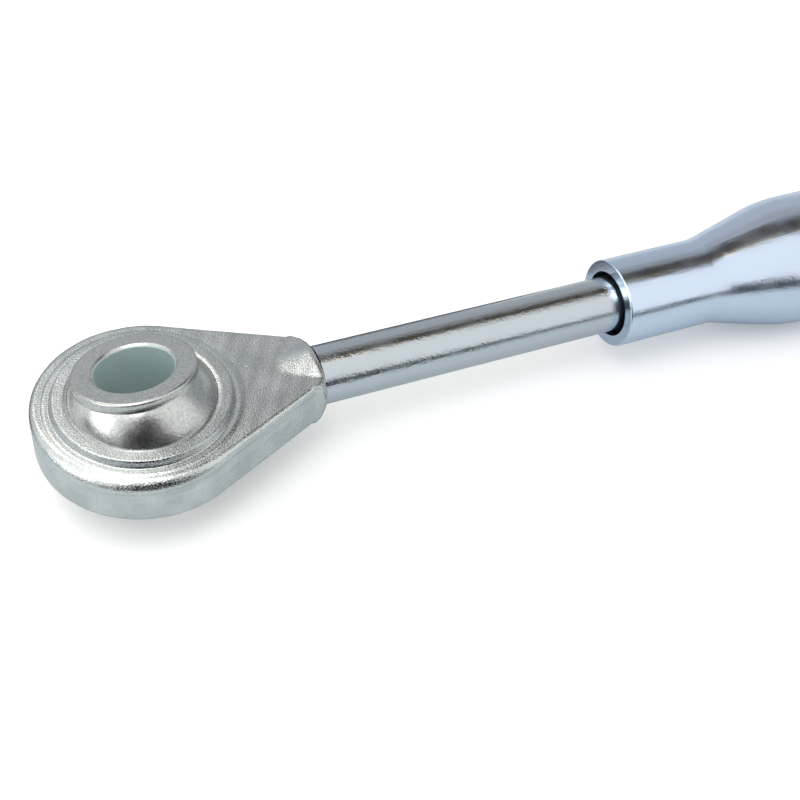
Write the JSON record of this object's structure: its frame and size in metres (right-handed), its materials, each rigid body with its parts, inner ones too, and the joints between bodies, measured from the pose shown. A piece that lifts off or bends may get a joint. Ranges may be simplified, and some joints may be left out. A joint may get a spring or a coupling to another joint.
{
  "type": "stabilizer link",
  "caption": "Telescoping lower-link stabilizer strut with a swivel ball in a forged eye at each end, a spring latch on the tube and an adjusting screw.",
  "frame": {"origin": "centre of the rod-end swivel ball", "axes": "+X along the strut towards the tube end, +Z along the axis of the eyes, +Y completes a right-handed frame and points away from the latch"},
  "size_m": [0.749, 0.1194, 0.0675],
  "materials": {
    "forged_zinc": "bright zinc plate over a forged skin, finely grained",
    "ball_zinc": "bright zinc plate over a turned and ground ball, satin",
    "bar_zinc": "bright zinc plate over drawn bar, satin",
    "tube_zinc": "bright zinc plate over drawn tube, smooth",
    "machined_zinc": "bright zinc plate over turned steel",
    "hard_steel": "ground hardened steel",
    "spring_wire": "bare spring steel wire",
    "ring_wire": "bright zinc plate over round wire",
    "nipple_zinc": "yellow-passivated zinc over turned steel",
    "guide_plastic": "natural acetal, matt"
  },
  "bodies": {
    "tube": {"outer_tube": "tube_zinc", "thread_bush": "machined_zinc", "latch_boss": "machined_zinc", "latch_cap": "machined_zinc", "latch_spring": "spring_wire", "grease_nipple": "nipple_zinc"},
    "slider": {"guide_band": "guide_plastic"},
    "rod": {"slide_rod": "bar_zinc", "rod_eye": "forged_zinc", "lock_collar": "machined_zinc", "stop_pin": "hard_steel", "front_band": "guide_plastic", "rear_collar": "machined_zinc", "rod_washer": "machined_zinc", "rod_nut": "machined_zinc"},
    "rod_end": {"rod_ball": "ball_zinc"},
    "latch": {"latch_plunger": "machined_zinc"},
    "ring": {"pull_ring": "ring_wire"},
    "jam_nut": {"lock_nut": "machined_zinc"},
    "screw": {"spindle": "machined_zinc", "tube_eye": "forged_zinc"},
    "tube_end": {"tube_ball": "ball_zinc"}
  },
  "joints": [
    {"name": "telescope", "type": "slide", "parent": "tube", "child": "slider", "axis": [1, 0, 0], "range_m": [-0.022, 0.022]},
    {"name": "rod_spin", "type": "hinge", "parent": "slider", "child": "rod", "pos_m": [0.4122, 0, 0], "axis": [1, 0, 0], "continuous": true},
    {"name": "rod_end_swivel", "type": "hinge", "parent": "rod", "child": "rod_end", "pos_m": [0, 0, 0], "axis": [0.9627, 0.2706, 0], "range_deg": [-1.15, 26.85]},
    {"name": "latch_pull", "type": "slide", "parent": "tube", "child": "latch", "axis": [0, -1, 0], "range_m": [0, 0.0092], "stiffness_N_per_m": 3000, "springref_m": -0.01, "deforming": ["latch_spring"]},
    {"name": "ring_swing", "type": "hinge", "parent": "latch", "child": "ring", "pos_m": [0.3777, -0.0751, 0], "axis": [1, 0, 0], "range_deg": [-190, 12]},
    {"name": "screw_turn", "type": "hinge", "parent": "tube", "child": "jam_nut", "pos_m": [0.5613, 0, 0], "axis": [1, 0, 0], "range_deg": [-2520, 2520]},
    {"name": "screw_travel", "type": "slide", "parent": "jam_nut", "child": "screw", "axis": [1, 0, 0], "range_m": [-0.021, 0.021]},
    {"name": "tube_end_swivel", "type": "hinge", "parent": "screw", "child": "tube_end", "pos_m": [0.6696, 0, 0], "axis": [0, 1, 0], "range_deg": [-14, 14]}
  ],
  "couplings": [
    {"joint": "screw_travel", "follows": "screw_turn", "m_per_rad": 0.00047746}
  ]
}
